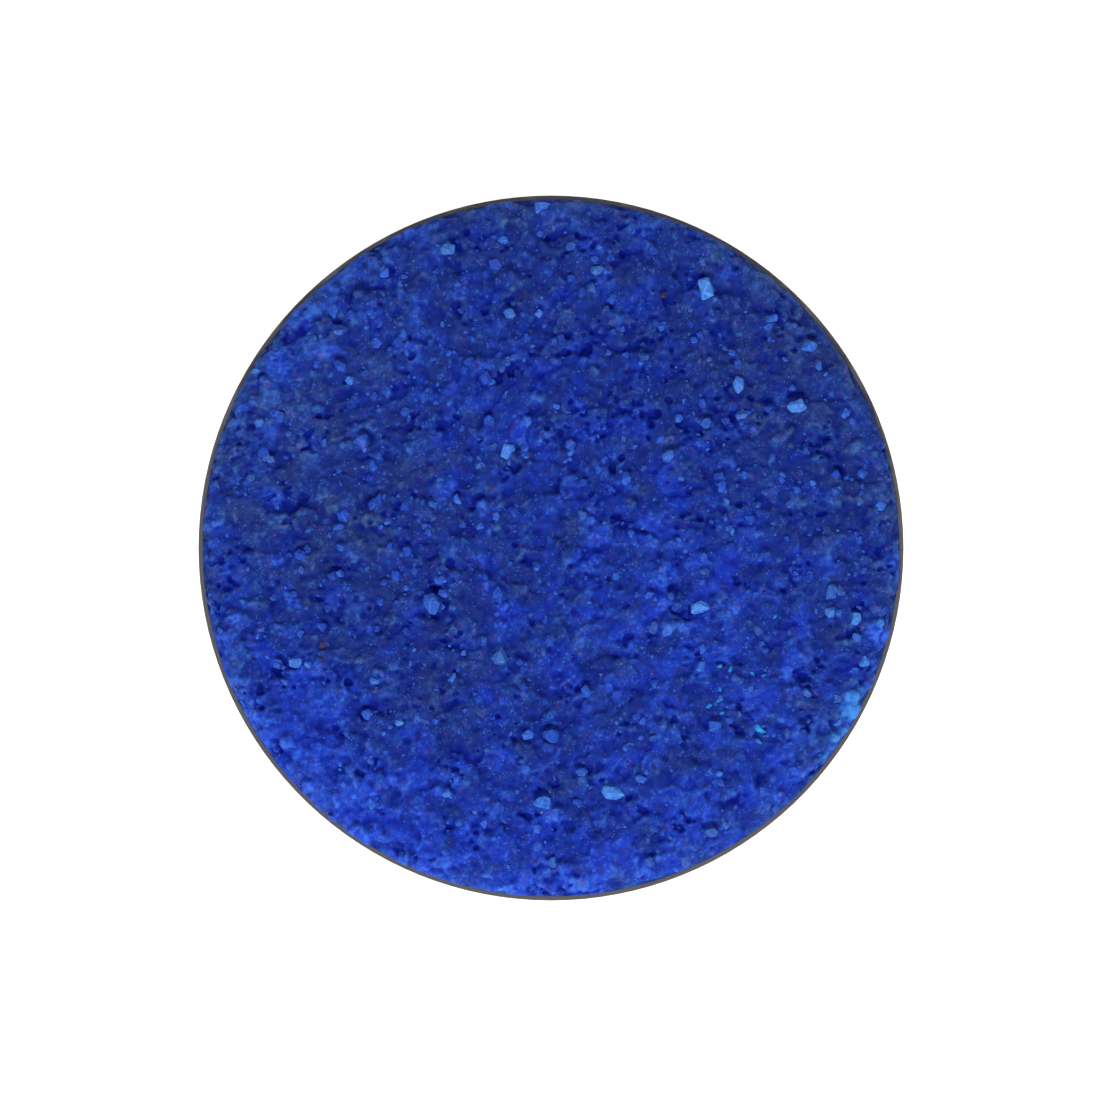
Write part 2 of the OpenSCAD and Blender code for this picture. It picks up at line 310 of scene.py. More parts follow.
def on_surface(x, y, rise):
    """Points of the crowned and shouldered form, raised along its normal. x and y are measured
    along the surface. Returns the points and the normals."""
    s = np.hypot(x, y)
    turn = np.arctan2(y, x)
    along = np.clip((s - FLAT_R) / SHOULDER_L, 0, 1) * math.pi / 2
    inner = s < FLAT_R
    r = np.where(inner, s, FLAT_R + SHOULDER_W * np.sin(along))
    z = np.where(
        inner,
        Z_TOP + CROWN_RISE * (1 - (s / FLAT_R) ** 2),
        Z_TOP - SHOULDER_H * (1 - np.cos(along)),
    )
    nr = np.where(inner, 2 * CROWN_RISE * s / FLAT_R ** 2, SHOULDER_H * np.sin(along))
    nz = np.where(inner, 1.0, SHOULDER_W * np.cos(along))
    length = np.hypot(nr, nz)
    nr, nz = nr / length, nz / length
    r = np.minimum(r + nr * rise, EDGE_R)
    points = np.stack([r * np.cos(turn), r * np.sin(turn), z + nz * rise], -1)
    normals = np.stack([nr * np.cos(turn), nr * np.sin(turn), nz], -1)
    return points, normals


def disc_grid(count):
    """A square grid of points spread over a disc of radius 1, as (x, y)."""
    u, v = np.meshgrid(np.linspace(-1, 1, count), np.linspace(-1, 1, count))
    wide = np.abs(u) > np.abs(v)
    radius = np.where(wide, u, v)
    safe = np.where(radius == 0, 1, radius)
    turn = np.where(wide, math.pi / 4 * v / safe, math.pi / 2 - math.pi / 4 * u / safe)
    return radius * np.cos(turn), radius * np.sin(turn)


STONE_FIELDS = ("hollow", "vivid", "light", "warm", "sky")
TOP_POINTS = 640              # along each side of the top's grid
# How the stone is mapped flat in the unit square
TOP_MAP = (0.425, 0.5, 0.43)  # the top's radius and centre
UNDER_MAP = (0.05, 0.06)      # the underside's radius, and both coordinates of its centre
STRIP_TOP = 0.96              # where the side's strips start, and their height and pitch
STRIP_H = 0.02
STRIP_PITCH = 0.03


def build_stone(fields, count):
    """The stone as one closed mesh: the rough top, the plain side in the housing, the underside.
    It is mapped flat as the top's disc, strips for the side and a small disc for the underside."""
    x, y = (a * REACH for a in disc_grid(count))
    edge_fade = 1 - step(REACH - 0.9, REACH - 0.1, np.hypot(x, y))
    top, _ = on_surface(x, y, sampled(fields["relief"], x, y) * edge_fade)
    top = top.reshape(-1, 3)
    top_map = np.stack([x, y], -1).reshape(-1, 2) / REACH * TOP_MAP[0] + TOP_MAP[1:]
    index = np.arange(count * count).reshape(count, count)
    quads = np.stack([index[:-1, :-1], index[:-1, 1:], index[1:, 1:], index[1:, :-1]], -1)
    ring = np.concatenate([index[0, :-1], index[:-1, -1], index[-1, :0:-1], index[:0:-1, 0]])
    around = len(ring)
    turn = np.arctan2(top[ring, 1], top[ring, 0])
    loops = [ring]
    points = [top]
    total = len(top)
    side_rings = (
        (EDGE_R - 0.25, Z_EDGE - 1.5), (SEAT_R + 0.4, Z_STONE + 0.4), (SEAT_R, Z_STONE),
    )
    for radius, z in side_rings:
        loop = np.stack([radius * np.cos(turn), radius * np.sin(turn), np.full(around, z)], -1)
        points.append(loop)
        loops.append(np.arange(total, total + around))
        total += around
    points.append(np.array([[0, 0, Z_STONE]]))
    corners = [quads.ravel()]
    sizes = [np.full(quads[..., 0].size, 4)]
    flat_map = [top_map[quads].reshape(-1, 2)]
    along = np.arange(around) / around
    after = along + 1 / around
    for row, (above, below) in enumerate(zip(loops, loops[1:])):
        side = np.stack([above, below, np.roll(below, -1), np.roll(above, -1)], -1)
        corners.append(side.ravel())
        sizes.append(np.full(around, 4))
        high = np.full(around, STRIP_TOP - STRIP_PITCH * row)
        low = high - STRIP_H
        strip = np.stack([along, high, along, low, after, low, after, high], -1)
        flat_map.append(strip.reshape(-1, 2))
    fan = np.stack([loops[-1], np.full(around, total), np.roll(loops[-1], -1)], -1)
    corners.append(fan.ravel())
    sizes.append(np.full(around, 3))
    under = np.stack([np.cos(turn), np.sin(turn)], -1) * UNDER_MAP[0] + UNDER_MAP[1]
    middle = np.full((around, 2), UNDER_MAP[1])
    flat_map.append(np.stack([under, middle, np.roll(under, -1, 0)], 1).reshape(-1, 2))
    mesh = mesh_from(
        "mineral_stone", np.concatenate(points), np.concatenate(corners), np.concatenate(sizes),
        flat_map=np.concatenate(flat_map),
    )
    for name in STONE_FIELDS:
        values = sampled(fields[name], x, y).ravel()
        below = [values[ring]] * len(side_rings)
        add_attribute(mesh, name, np.concatenate([values, *below, [0.5]]))
    return mesh


# ---------------------------------------------------------------- crystals

# The largest crystals: degrees anticlockwise from +X, share of the radius, length and width in
# millimetres, degrees that it is turned, and how pale it is
LARGE_CRYSTALS = [
    (91.5, 0.96, 2.6, 2.0, 20, 0.75), (109, 0.89, 2.4, 1.7, 0, 0.8), (59, 0.85, 3.4, 2.2, 100, 1.0),
    (100, 0.67, 1.8, 1.5, 0, 0.7), (93, 0.66, 1.3, 1.1, 40, 0.8), (81, 0.74, 1.8, 1.3, 90, 0.4),
    (38, 0.92, 2.6, 1.6, 10, 0.7), (41, 0.70, 2.6, 1.7, 110, 0.85), (30, 0.80, 2.8, 2.0, 15, 0.95),
    (114, 0.30, 2.4, 2.0, 70, 0.9), (140, 0.74, 1.6, 1.3, 80, 0.8),
    (205, 0.37, 3.2, 2.2, 115, 0.55), (245, 0.34, 3.2, 2.6, 75, 0.65),
    (338, 0.45, 2.9, 1.9, 15, 0.95), (326, 0.40, 3.6, 2.2, 25, 0.6),
    (347, 0.88, 2.0, 1.9, 60, 0.95), (347, 0.81, 1.8, 1.5, 0, 0.9), (351, 0.80, 2.4, 1.6, 80, 0.6),
    (340, 0.94, 1.7, 1.6, 30, 0.8), (204, 0.79, 2.0, 1.7, 0, 0.85), (229, 0.65, 1.3, 1.1, 0, 1.0),
    (247, 0.75, 1.5, 1.2, 30, 0.7), (268, 0.72, 2.7, 2.1, 20, 0.8),
    (284, 0.71, 3.6, 2.0, 170, 0.95), (263, 0.53, 1.8, 1.5, 40, 0.7),
    (270, 0.53, 2.4, 2.0, 0, 0.45), (203, 0.33, 1.9, 1.2, 160, 0.5),
]
# Small turquoise flecks and rust-coloured specks, given in the same way
# (the last number picks the colour)
TURQUOISE_FLECKS = [
    (319, 0.78, 2.2, 0.9, 145, 0.8), (317, 0.80, 1.3, 0.7, 150, 0.3),
    (326, 0.61, 1.0, 0.5, 60, 0.6), (325, 0.58, 0.9, 0.6, 20, 0.4), (318, 0.64, 1.2, 0.5, 20, 0.5),
    (315, 0.63, 1.0, 0.6, 30, 0.6), (320, 0.62, 0.8, 0.5, 110, 0.3),
    (328, 0.67, 1.1, 0.6, 130, 0.5), (329, 0.70, 0.8, 0.5, 40, 0.3),
    (343, 0.66, 0.8, 0.5, 60, 0.3), (316, 0.67, 0.8, 0.5, 10, 0.4),
]
RUST_SPECKS = [
    (203, 0.70, 1.3, 0.9, 30, 0.9), (206, 0.72, 0.8, 0.6, 80, 0.7), (284, 0.30, 0.7, 0.5, 60, 1.0),
    (285, 0.72, 0.9, 0.6, 0, 0.5), (66, 0.78, 1.2, 1.0, 40, 0.6), (109, 0.62, 0.8, 0.5, 0, 0.3),
    (245, 0.82, 0.7, 0.5, 20, 0.5),
]
CHIP_SHAPES = 16       # different shapes, which all chips share
CHIP_CORNERS = 11      # points that each shape is wrapped round
CHIP_ROUND = 0.08      # how far each bevel starts from its edge, for a shape of radius 1
CHIP_HALF_H = 0.36     # half a chip's height, as a share of its width
# Chips lie with their tops this far over the ground, as a share of their width
LARGE_PROUD = 0.52
FLECK_PROUD = 0.46
SPECK_PROUD = 0.4


def spread_directions(count, tries=4):
    """Random directions, each the one of a few tries that lies farthest from those before it."""
    chosen = []
    for _ in range(count):
        spots = rng.normal(0, 1, (tries, 3))
        spots /= np.linalg.norm(spots, axis=1)[:, None]
        closest = np.max(spots @ np.array(chosen).T, axis=1) if chosen else np.zeros(tries)
        chosen.append(spots[np.argmin(closest)])
    return np.array(chosen)


def chip_shapes(count):
    """Rough convex chips with flat faces and blunt edges: the corners of each, and its faces
    with 1 for a face along an edge and 0 for the others."""
    shapes = []
    for _ in range(count):
        bm = bmesh.new()
        spots = spread_directions(CHIP_CORNERS) * rng.uniform(0.8, 1.0, (CHIP_CORNERS, 1))
        for spot in spots:
            bm.verts.new(spot)
        bmesh.ops.convex_hull(bm, input=bm.verts)
        loose = [v for v in bm.verts if not v.link_faces]
        bmesh.ops.delete(bm, geom=loose, context="VERTS")
        bmesh.ops.dissolve_limit(bm, angle_limit=math.radians(16), verts=bm.verts, edges=bm.edges)
        rounded = bmesh.ops.bevel(
            bm, geom=bm.edges, offset=CHIP_ROUND, segments=1, affect="EDGES", clamp_overlap=True
        )
        rims = set(rounded["faces"])
        bm.verts.index_update()
        corners = np.array([v.co[:] for v in bm.verts])
        faces = [([v.index for v in f.verts], float(f in rims)) for f in bm.faces]
        shapes.append((corners, faces))
        bm.free()
    return shapes


def build_chips(name, fields, shapes, spots):
    """One mesh of chips half sunk in the stone.
    A spot is x, y, length, width, turn, tone, proud."""
    points, corners, sizes, tones, hues, rims = [], [], [], [], [], []
    total = 0
    for x, y, length, width, turn, tone, proud in spots:
        shape, faces = shapes[rng.integers(len(shapes))]
        roll = Matrix.Rotation(rng.uniform(0, 2 * math.pi), 3, "X")
        roll = roll @ Matrix.Rotation(rng.uniform(-0.4, 0.4), 3, "Y")
        body = shape @ np.array(roll).T
        body = body / np.abs(body).max(0) * [length / 2, width / 2, width * CHIP_HALF_H]
        ground = float(sampled(fields["smooth"], np.array([x]), np.array([y]))[0])
        sink = SHOULDER_SINK * float(step(FLAT_R - 3, REACH - 2, math.hypot(x, y)))
        rise = ground + width * (proud - CHIP_HALF_H - sink)
        place, normal = on_surface(np.array([x]), np.array([y]), np.array([rise]))
        upright = Vector((0, 0, 1)).rotation_difference(Vector(normal[0])).to_matrix()
        upright = upright @ Matrix.Rotation(math.radians(turn), 3, "Z")
        points.append(body @ np.array(upright).T + place[0])
        for face, rim in faces:
            corners.extend(i + total for i in face)
            sizes.append(len(face))
            rims.append(rim)
        tones.append(np.full(len(shape), tone))
        hues.append(np.full(len(shape), rng.uniform()))
        total += len(shape)
    mesh = mesh_from(name, np.concatenate(points), corners, sizes, smooth=False)
    add_attribute(mesh, "tone", np.concatenate(tones))
    add_attribute(mesh, "hue", np.concatenate(hues))
    add_attribute(mesh, "rim", rims, "FACE")
    return mesh


def scattered(count, lengths, tones, proud, reach=REACH - 1.2):
    """Spots for chips at random over the stone, within these ranges."""
    spots = []
    while len(spots) < count:
        x, y = rng.uniform(-reach, reach, 2)
        if math.hypot(x, y) > reach:
            continue
        length = lengths[0] + (lengths[1] - lengths[0]) * rng.beta(1.1, 2.4)
        tone = tones[0] + (tones[1] - tones[0]) * rng.beta(1.2, 1.8)
        spots.append((
            x, y, length, length * rng.uniform(0.6, 0.95), rng.uniform(0, 360),
            tone, rng.uniform(*proud),
        ))
    return spots


def listed(spots, proud):
    """Spots for the chips of a list, which gives them by angle and share of the radius."""
    return [
        (*polar(angle, share * RIM_R), length, width, turn, tone, proud)
        for angle, share, length, width, turn, tone in spots
    ]


# ---------------------------------------------------------------- suction cups

CUPS = 4
CUP_AT = 34.0            # from the middle to each cup's centre
CUP_R = 10.0
CUP_HOLLOW = (9.3, 3.2)  # radius and height
HOLLOW_RINGS = 5         # gripping rings, counting the innermost, which is left out
HOLLOW_RING_H = 0.11     # how proud they are before they fade towards the lip
LIP_ROUND = (0.26, 0.25)
BELL_START = (CUP_R - 0.3, 0.5)
BELL_BEADS = (0.14, 0.8)  # where the beads lie, as shares of the way up the bell
BEAD_H = 0.13
BEAD_SHARE = 0.02
COLLAR_R = 4.2
COLLAR_H = 1.4
COLLAR_ROUND = 0.35
NECK_R = 2.6
NECK_FLARE = 0.15
BUTTON_R = 3.9
BUTTON_ROUND = 1.6
BUTTON_EDGE = 0.2        # the smaller round at the button's underside
TAB_AT = CUP_R + 1
TAB_R = 2.0
TAB_Z = 0.7
TAB_ROOT = 2.2           # from the centre of the tab's round end inwards to its root
TAB_HALF_T = 0.38
TAB_RIB_H = 0.09
TAB_RIB_PITCH = 0.55
z_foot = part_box("base_cover")[0].z / MM
z_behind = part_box("base_cover")[1].z / MM
z_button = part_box("suction_cup_1")[1].z / MM


def skin(rings, start, end):
    """Points and faces of a closed skin over rings of points, with a point at each end."""
    rings = np.asarray(rings)
    count, around = rings.shape[:2]
    points = np.concatenate([rings.reshape(-1, 3), [start, end]])
    index = np.arange(count * around).reshape(count, around)
    after = np.roll(index, -1, 1)
    quads = np.stack([index[:-1], after[:-1], after[1:], index[1:]], -1).reshape(-1, 4)
    first = np.full(around, count * around)
    fans = np.concatenate([
        np.stack([first, after[0], index[0]], -1), np.stack([first + 1, index[-1], after[-1]], -1),
    ])
    return points, np.concatenate([quads.ravel(), fans.ravel()]), [4] * len(quads) + [3] * len(fans)


def arc(middle_r, middle_z, round_r, round_z, angles):
    """Points of an elliptical arc in the profile plane, at these angles in degrees."""
    turns = [math.radians(angle) for angle in angles]
    return [(middle_r + round_r * math.cos(t), middle_z + round_z * math.sin(t)) for t in turns]


def cup_outline():
    """The cup's section from the top of its hollow, over the lip, to the top of its button."""
    hollow_r, hollow_h = CUP_HOLLOW
    outline = []
    for k in range(1, 49):
        share = k / 48
        ring = HOLLOW_RING_H * math.sin(HOLLOW_RINGS * math.pi * share) ** 2 * (1 - share ** 6)
        outline.append((hollow_r * share, hollow_h * (1 - share ** 2) + ring * (share > 0.2)))
    outline += arc(CUP_R - LIP_ROUND[0], LIP_ROUND[1], *LIP_ROUND, range(-90, 100, 20))
    bell_r, bell_z = BELL_START
    rise = z_foot - COLLAR_H - bell_z
    for k in range(1, 37):
        share = k / 36
        bead = BEAD_H * sum(math.exp(-((share - at) / BEAD_SHARE) ** 2) for at in BELL_BEADS)
        outline.append((bell_r - (bell_r - COLLAR_R) * share, bell_z + rise * share ** 1.6 + bead))
    outline += arc(
        COLLAR_R - COLLAR_ROUND, z_foot - COLLAR_ROUND, COLLAR_ROUND, COLLAR_ROUND,
        range(0, 91, 15),
    )
    flare = NECK_R + NECK_FLARE
    outline += [(flare, z_foot), (NECK_R, z_foot + 0.1), (NECK_R, z_behind - 0.1)]
    outline += [(flare, z_behind + 0.02), (BUTTON_R - BUTTON_EDGE, z_behind + 0.02)]
    outline += arc(
        BUTTON_R - BUTTON_EDGE, z_behind + BUTTON_EDGE, BUTTON_EDGE, BUTTON_EDGE,
        range(-60, 0, 10),
    )
    outline += arc(
        BUTTON_R - BUTTON_ROUND, z_button - BUTTON_ROUND, BUTTON_ROUND, BUTTON_ROUND,
        range(0, 91, 10),
    )
    return outline


def cup_body(around=72):
    turn = 2 * math.pi * np.arange(around) / around
    rings = [
        np.stack([r * np.cos(turn), r * np.sin(turn), np.full(around, z)], -1)
        for r, z in cup_outline()
    ]
    return skin(rings, (0, 0, CUP_HOLLOW[1]), (0, 0, z_button))


def cup_tab(around=28):
    """The tab that lifts the lip: a rounded tongue with grip ribs across its upper side."""
    turn = 2 * math.pi * np.arange(around) / around
    y, z = np.cos(turn), np.sin(turn)
    y, z = np.sign(y) * np.abs(y) ** 0.6, np.sign(z) * np.abs(z) ** 0.6  # squarer than an ellipse
    rings = []
    start, tip = TAB_AT - TAB_ROOT, TAB_AT + TAB_R
    for k in range(60):
        x = tip - (tip - start) * (1 - (k + 0.5) / 60) ** 1.3
        past = x - TAB_AT
        width = math.sqrt(TAB_R ** 2 - past ** 2) if past > 0 else TAB_R + 0.12 * past
        thick = TAB_HALF_T * min(1, math.sqrt((tip - x) / 0.45))
        ribs = TAB_RIB_H * math.sin(math.pi * past / TAB_RIB_PITCH) ** 2
        ribs *= -0.3 < past < TAB_R - 0.6
        height = TAB_Z + (thick + ribs * (z > 0)) * z
        rings.append(np.stack([np.full(around, x), width * y, height], -1))
    return skin(rings, (start, 0, TAB_Z), (tip, 0, TAB_Z))


def make_cups():
    vinyl = vinyl_material()
    for i in range(CUPS):
        angle = math.radians(45 + i * 360 / CUPS)
        c, s = math.cos(angle), math.sin(angle)
        points, corners, sizes = cup_body()
        tab_points, tab_corners, tab_sizes = cup_tab()
        corners = np.concatenate([corners, tab_corners + len(points)])
        points = np.concatenate([points, tab_points]) + [CUP_AT, 0, 0]
        points = points @ np.array([[c, s, 0], [-s, c, 0], [0, 0, 1]])
        mesh = mesh_from(f"vinyl_cup_{i + 1}", points, corners, sizes + tab_sizes)
        mesh.materials.append(vinyl)
        add_object(mesh.name, mesh, replaces=[f"suction_cup_{i + 1}"])


# ---------------------------------------------------------------- materials

def new_material(name):
    material = bpy.data.materials.new(name)
    material.use_nodes = True
    tree = material.node_tree
    tree.nodes.clear()
    output = tree.nodes.new("ShaderNodeOutputMaterial")
    shader = tree.nodes.new("ShaderNodeBsdfPrincipled")
    tree.links.new(shader.outputs[0], output.inputs["Surface"])
    return material, tree, shader


def add(tree, kind, inputs=None, **settings):
    node = tree.nodes.new("ShaderNode" + kind)
    for key, value in settings.items():
        setattr(node, key, value)
    for key, value in (inputs or {}).items():
        if isinstance(value, bpy.types.NodeSocket):
            tree.links.new(value, node.inputs[key])
        else:
            node.inputs[key].default_value = value
    return node


def maths(tree, operation, *values):
    return add(tree, "Math", dict(enumerate(values)), operation=operation).outputs[0]


def blend_colour(tree, factor, a, b, mode="MIX"):
    node = add(tree, "Mix", data_type="RGBA", blend_type=mode)
    for socket, value in ((node.inputs[0], factor), (node.inputs[6], a), (node.inputs[7], b)):
        if isinstance(value, bpy.types.NodeSocket):
            tree.links.new(value, socket)
        else:
            socket.default_value = value
    return node.outputs[2]


def ramp(tree, value, stops):
    node = add(tree, "ValToRGB", {0: value})
    points = node.color_ramp.elements
    while len(points) < len(stops):
        points.new(0.5)
    for point, (place, colour) in zip(points, stops):
        point.position = place
        point.color = (*colour, 1)
    return node.outputs[0]


def attribute(tree, name):
    return add(tree, "Attribute", attribute_name=name).outputs["Fac"]


def object_position(tree):
    return add(tree, "TexCoord").outputs["Object"]


def noise_texture(tree, size_mm, detail=2.0, roughness=0.5):
    """Noise whose lumps are about size_mm across."""
    return add(tree, "TexNoise", {
        "Vector": object_position(tree), "Scale": 1 / (size_mm * MM),
        "Detail": detail, "Roughness": roughness,
    }).outputs["Fac"]


def cells_texture(tree, size_mm):
    return add(tree, "TexVoronoi", {"Vector": object_position(tree), "Scale": 1 / (size_mm * MM)})


def bump(tree, height, distance_mm, strength=1.0):
    node = add(tree, "Bump", {"Height": height, "Distance": distance_mm * MM, "Strength": strength})
    return node.outputs[0]


def set_shader(tree, shader, **values):
    """Sets or links the shader's inputs. Their names have underscores for spaces."""
    for key, value in values.items():
        socket = shader.inputs[key.replace("_", " ")]
        if isinstance(value, bpy.types.NodeSocket):
            tree.links.new(value, socket)
        else:
            socket.default_value = value


def tinge(tree, amount, share, colour, tinge_colour):
    """The colour, turned towards another one by share where amount is 1."""
    factor = maths(tree, "MULTIPLY", amount, share)
    return blend_colour(tree, factor, colour, (*tinge_colour, 1))


def stone_material():
    """Bonded blue mineral. The mesh's fields give its hue, its lightness with painted light and
    shade, its tinges, and painted shade in its recesses; the texture adds the grit between the
    grains, with single light and dark specks."""
    material, tree, shader = new_material("bonded_mineral")
    hollow, vivid, light, warm, sky = (attribute(tree, name) for name in STONE_FIELDS)
    colour = ramp(tree, vivid, [
        (0.0, (0.0083, 0.0192, 0.106)), (0.5, (0.0050, 0.0172, 0.141)),
        (1.0, (0.0070, 0.0250, 0.268)),
    ])
    colour = tinge(tree, warm, 0.65, colour, (0.0150, 0.0150, 0.115))
    fine = noise_texture(tree, 0.38, 3, 0.6)
    # The lightness field, with its painted light and shade, scales the colour through the tint ramp
    shade = maths(tree, "MULTIPLY_ADD", fine, 0.42, maths(tree, "SUBTRACT", light, 0.21))
    tint = ramp(tree, shade, [
        (0.0, (0.45, 0.52, 0.84)), (0.35, (0.78, 0.82, 0.93)), (0.55, (1.12, 1.12, 1.04)),
        (0.8, (2.1, 2.0, 1.32)), (1.0, (3.7, 3.5, 1.70)),
    ])
    colour = tinge(tree, sky, 0.85, colour, (0.0090, 0.047, 0.27))
    colour = blend_colour(tree, 1.0, colour, tint, "MULTIPLY")
    speck = cells_texture(tree, 0.24)
    pick = add(tree, "SeparateColor", {0: speck.outputs["Color"]})
    close = maths(tree, "LESS_THAN", speck.outputs["Distance"], 0.42)
    bright = maths(tree, "MULTIPLY", maths(tree, "GREATER_THAN", pick.outputs[0], 0.935), close)
    dark = maths(tree, "MULTIPLY", maths(tree, "GREATER_THAN", pick.outputs[1], 0.955), close)
    colour = tinge(tree, bright, 0.5, colour, (0.058, 0.105, 0.30))
    colour = tinge(tree, dark, 0.38, colour, (0.004, 0.006, 0.055))
    # Painted shade: the colour goes to dark navy in the recesses, where shade falls
    depth = ramp(tree, hollow, [
        (0.0, (0, 0, 0)), (0.05, (0, 0, 0)), (0.25, (0.5, 0.5, 0.5)), (0.6, (1, 1, 1)),
    ])
    colour = blend_colour(tree, depth, colour, (0.0008, 0.0045, 0.122, 1))
    rough = maths(tree, "MULTIPLY_ADD", fine, 0.4, 0.4)
    dust = noise_texture(tree, 0.25, 3, 0.6)
    grit = maths(tree, "MULTIPLY_ADD", speck.outputs["Distance"], -0.6, dust)
    set_shader(
        tree, shader, Base_Color=colour, Roughness=rough, Specular_IOR_Level=0.03,
        Normal=bump(tree, grit, 0.05, 0.26),
    )
    return material


def chip_material(name, stops, off_hue):
    """Cloudy mineral chips. A chip's tone picks its colour, off_hue tints some of them, and the
    faces along its edges get a painted highlight.
    """
    material, tree, shader = new_material(name)
    colour = ramp(tree, attribute(tree, "tone"), stops)
    tinted = ramp(tree, attribute(tree, "hue"), [(0.7, (0, 0, 0)), (1.0, (0.6, 0.6, 0.6))])
    colour = blend_colour(tree, tinted, colour, (*off_hue, 1))
    cloud = noise_texture(tree, 0.5, 3, 0.65)
    shade = ramp(tree, cloud, [
        (0.3, (0.55, 0.62, 0.80)), (0.5, (1, 1, 1)), (0.72, (1.8, 1.5, 1.16)),
    ])
    colour = blend_colour(tree, 1.0, colour, shade, "MULTIPLY")
    # Painted highlight: the faces along each chip's edges are painted lighter
    rim = maths(tree, "MULTIPLY", attribute(tree, "rim"), 0.6)
    colour = blend_colour(tree, rim, colour, (1.5, 1.35, 1.12, 1), "MULTIPLY")
    rough = ramp(tree, noise_texture(tree, 0.3, 2, 0.5), [(0.3, (0.35,) * 3), (0.7, (0.6,) * 3)])
    set_shader(
        tree, shader, Base_Color=colour, Roughness=rough, Specular_IOR_Level=0.1,
        Normal=bump(tree, noise_texture(tree, 0.25, 3, 0.6), 0.03, 0.45),
    )
    return material


def plastic_material(name, colour, roughness, grain_mm, grain_depth):
    """Moulded plastic: a fine etched grain of this size and depth, faint flow clouds and scuffs."""
    material, tree, shader = new_material(name)
    cloud = noise_texture(tree, 9, 3, 0.55)
    tinted = ramp(tree, cloud, [
        (0.3, tuple(c * 0.95 for c in colour)), (0.7, tuple(c * 1.05 for c in colour)),
    ])
    etched = noise_texture(tree, grain_mm, 2, 0.6)
    rough = ramp(tree, noise_texture(tree, 2.2, 4, 0.7), [
        (0.3, (roughness - 0.03,) * 3), (0.75, (roughness + 0.04,) * 3),
    ])
    set_shader(
        tree, shader, Base_Color=tinted, Roughness=rough, Specular_IOR_Level=0.35,
        Normal=bump(tree, etched, grain_depth),
    )
    return material


def steel_material():
    """Plain stainless steel, duller in patches."""
    material, tree, shader = new_material("stainless_steel")
    worn = noise_texture(tree, 0.6, 4, 0.65)
    colour = ramp(tree, worn, [(0.3, (0.42, 0.41, 0.39)), (0.7, (0.66, 0.65, 0.63))])
    set_shader(
        tree, shader, Base_Color=colour, Metallic=1.0,
        Roughness=ramp(tree, worn, [(0.3, (0.24,) * 3), (0.7, (0.42,) * 3)]),
        Normal=bump(tree, noise_texture(tree, 0.2, 2), 0.008, 0.8),
    )
    return material


def vinyl_material():
    """Soft clear vinyl, a little smoky, with a faint haze."""
    material, tree, shader = new_material("soft_vinyl")
    haze = noise_texture(tree, 3, 3, 0.6)
    colour = ramp(tree, haze, [(0.3, (0.36, 0.42, 0.44)), (0.7, (0.42, 0.48, 0.50))])
    set_shader(
        tree, shader, Base_Color=colour, Transmission_Weight=0.45, IOR=1.45,
        Roughness=ramp(tree, haze, [(0.3, (0.14,) * 3), (0.7, (0.22,) * 3)]),
        Specular_IOR_Level=0.5, Normal=bump(tree, noise_texture(tree, 0.9, 2), 0.02, 0.5),
    )
    return material


# ---------------------------------------------------------------- assembling

def soften_edges(obj, width):
    """Small rounds on a moulding's edges."""
    weld = obj.modifiers.new("weld", "WELD")
    weld.merge_threshold = 0.002 * MM
    bevel = obj.modifiers.new("rounds", "BEVEL")
    bevel.width = width * MM
    bevel.segments = 2
    bevel.limit_method = "ANGLE"
    bevel.angle_limit = math.radians(35)
    obj.modifiers.new("shading", "WEIGHTED_NORMAL")


def dress_cad_nodes():
    """Gives the CAD nodes that stay in view their materials, and rounds on the edges of the pan,
    the cover and the elbow.
    """
    grey = plastic_material("grey_housing_plastic", (0.0470, 0.0440, 0.0465), 0.56, 0.35, 0.03)
    looks = {
        "housing_pan": grey,
        "base_cover": grey,
        "edge_seal": plastic_material("silicone_sealant", (0.5, 0.5, 0.48), 0.35, 1.2, 0.05),
        "ballast_ring": plastic_material("epoxy_coated_iron", (0.02, 0.02, 0.022), 0.35, 0.8, 0.04),
        "cover_screws": steel_material(),
        "inlet_elbow": plastic_material("white_acetal", (0.62, 0.62, 0.59), 0.38, 0.5, 0.008),
        "o_ring_lower": plastic_material("nitrile_rubber", (0.012, 0.012, 0.013), 0.4, 0.3, 0.008),
        "thrust_washer": plastic_material("washer_plastic", (0.7, 0.7, 0.67), 0.45, 0.4, 0.006),
    }
    looks["o_ring_upper"] = looks["o_ring_lower"]
    looks["retaining_clip"] = looks["cover_screws"]
    for name, material in looks.items():
        mesh = nodes[name].data
        mesh.materials.clear()
        mesh.materials.append(material)
    for name, width in (("housing_pan", 0.07), ("base_cover", 0.15), ("inlet_elbow", 0.12)):
        soften_edges(nodes[name], width)


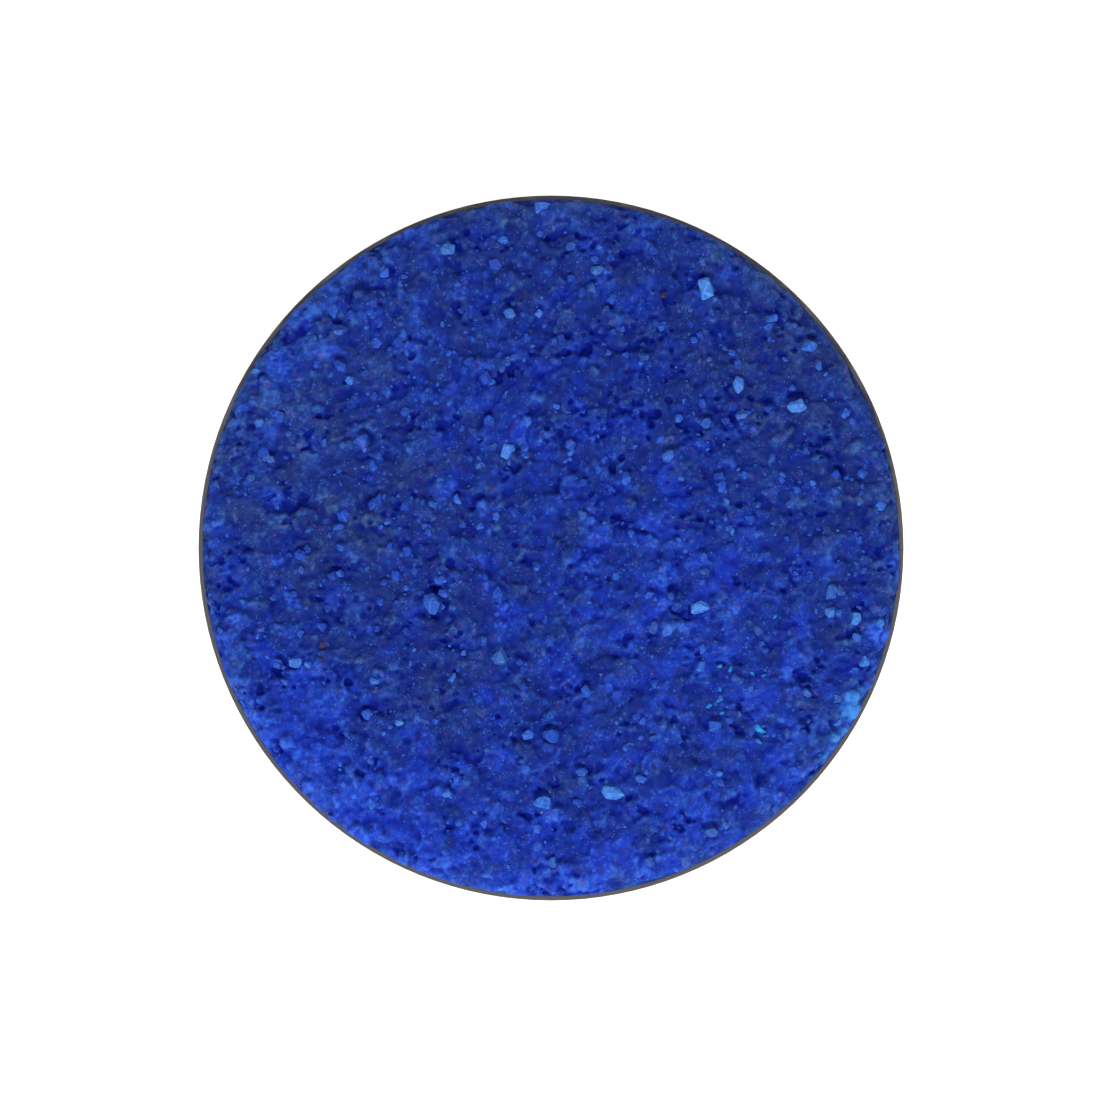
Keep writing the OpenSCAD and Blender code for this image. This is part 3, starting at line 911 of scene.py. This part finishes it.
def make_stone():
    """The rough stone with its crystals, flecks and specks."""
    quartz = listed(LARGE_CRYSTALS, LARGE_PROUD)
    quartz += scattered(360, (0.9, 2.5), (0.05, 0.75), (0.26, 0.48))
    quartz += scattered(1300, (0.45, 1.2), (0.0, 0.75), (0.12, 0.36))
    turquoise = listed(TURQUOISE_FLECKS, FLECK_PROUD)
    rust = listed(RUST_SPECKS, SPECK_PROUD)
    rust += scattered(26, (0.3, 0.65), (0.0, 0.7), (0.25, 0.45))
    fields = stone_relief(quartz)
    mesh = build_stone(fields, TOP_POINTS)
    stone = add_object("mineral_stone", mesh, replaces=["mineral_disc"])
    stone.data.materials.append(stone_material())
    shapes = chip_shapes(CHIP_SHAPES)
    # each kind's name, spots, colours from its lowest tone to its highest, and the off hue
    kinds = (
        ("quartz_crystals", quartz, [
            (0.0, (0.006, 0.022, 0.20)), (0.4, (0.008, 0.040, 0.29)), (0.75, (0.017, 0.077, 0.36)),
            (1.0, (0.034, 0.130, 0.42)),
        ], (0.020, 0.060, 0.20)),
        ("turquoise_flecks", turquoise, [
            (0.0, (0.004, 0.055, 0.25)), (1.0, (0.007, 0.15, 0.43)),
        ], (0.004, 0.12, 0.30)),
        ("rust_specks", rust, [
            (0.0, (0.009, 0.010, 0.055)), (1.0, (0.024, 0.017, 0.055)),
        ], (0.016, 0.019, 0.050)),
    )
    for name, spots, stops, off_hue in kinds:
        piece = add_object(name, build_chips(name, fields, shapes, spots))
        piece.data.materials.append(chip_material(name, stops, off_hue))


# ---------------------------------------------------------------- stage

FLOOR_HALF = 3.0        # metres
CAMERA_LENS = 110.0
CAMERA_SENSOR = 36.0
DISC_SHARE = 0.641      # of the frame's width
OFF_CENTRE = (-0.0009, -0.0018)  # the camera's place over the disc, in frame widths


def make_stage():
    """A pale plain floor that glows enough to come out white."""
    mesh = bpy.data.meshes.new("floor")
    corners = [(-1, -1), (1, -1), (1, 1), (-1, 1)]
    points = [(FLOOR_HALF * x, FLOOR_HALF * y, 0) for x, y in corners]
    mesh.from_pydata(points, [], [(0, 1, 2, 3)])
    floor = bpy.data.objects.new("floor", mesh)
    bpy.context.scene.collection.objects.link(floor)
    material, tree, shader = new_material("white_floor")
    set_shader(
        tree, shader, Base_Color=(0.30, 0.30, 0.30, 1), Roughness=0.9, Specular_IOR_Level=0.1,
        Emission_Color=(1, 1, 1, 1), Emission_Strength=0.87,
    )
    mesh.materials.append(material)


def add_light(name, place, target, size, power):
    """A round area light aimed at target. Lengths in metres, power in watts."""
    light = bpy.data.lights.new(name, "AREA")
    light.shape = "DISK"
    light.size = size
    light.energy = power
    obj = bpy.data.objects.new(name, light)
    bpy.context.scene.collection.objects.link(obj)
    obj.location = place
    obj.rotation_euler = (Vector(target) - Vector(place)).to_track_quat("-Z", "Y").to_euler()


def make_light():
    """An even white surround, a key light from the frame's lower edge and a weaker fill."""
    world = bpy.data.worlds.new("studio")
    bpy.context.scene.world = world
    world.use_nodes = True
    background = world.node_tree.nodes["Background"]
    background.inputs["Color"].default_value = (1, 1, 1, 1)
    background.inputs["Strength"].default_value = 0.62
    middle = (0, 0, Z_RIM * MM)
    add_light("key", (-0.09, -0.58, 0.66), middle, 0.42, 10.4)
    add_light("fill", (0.2, 0.6, 0.6), middle, 0.6, 3.3)


def make_camera():
    """Straight down on the disc, which lies a touch above the frame's middle."""
    frame_w = 2 * RIM_R * MM / DISC_SHARE
    camera = bpy.data.cameras.new("camera")
    camera.lens = CAMERA_LENS
    camera.sensor_width = CAMERA_SENSOR
    camera.clip_start = 0.01
    obj = bpy.data.objects.new("camera", camera)
    bpy.context.scene.collection.objects.link(obj)
    height = Z_RIM * MM + frame_w * CAMERA_LENS / CAMERA_SENSOR
    obj.location = (OFF_CENTRE[0] * frame_w, OFF_CENTRE[1] * frame_w, height)
    bpy.context.scene.camera = obj


make_camera()
make_stage()
make_light()
dress_cad_nodes()
make_cups()
make_stone()
bpy.context.scene.view_settings.view_transform = "Standard"
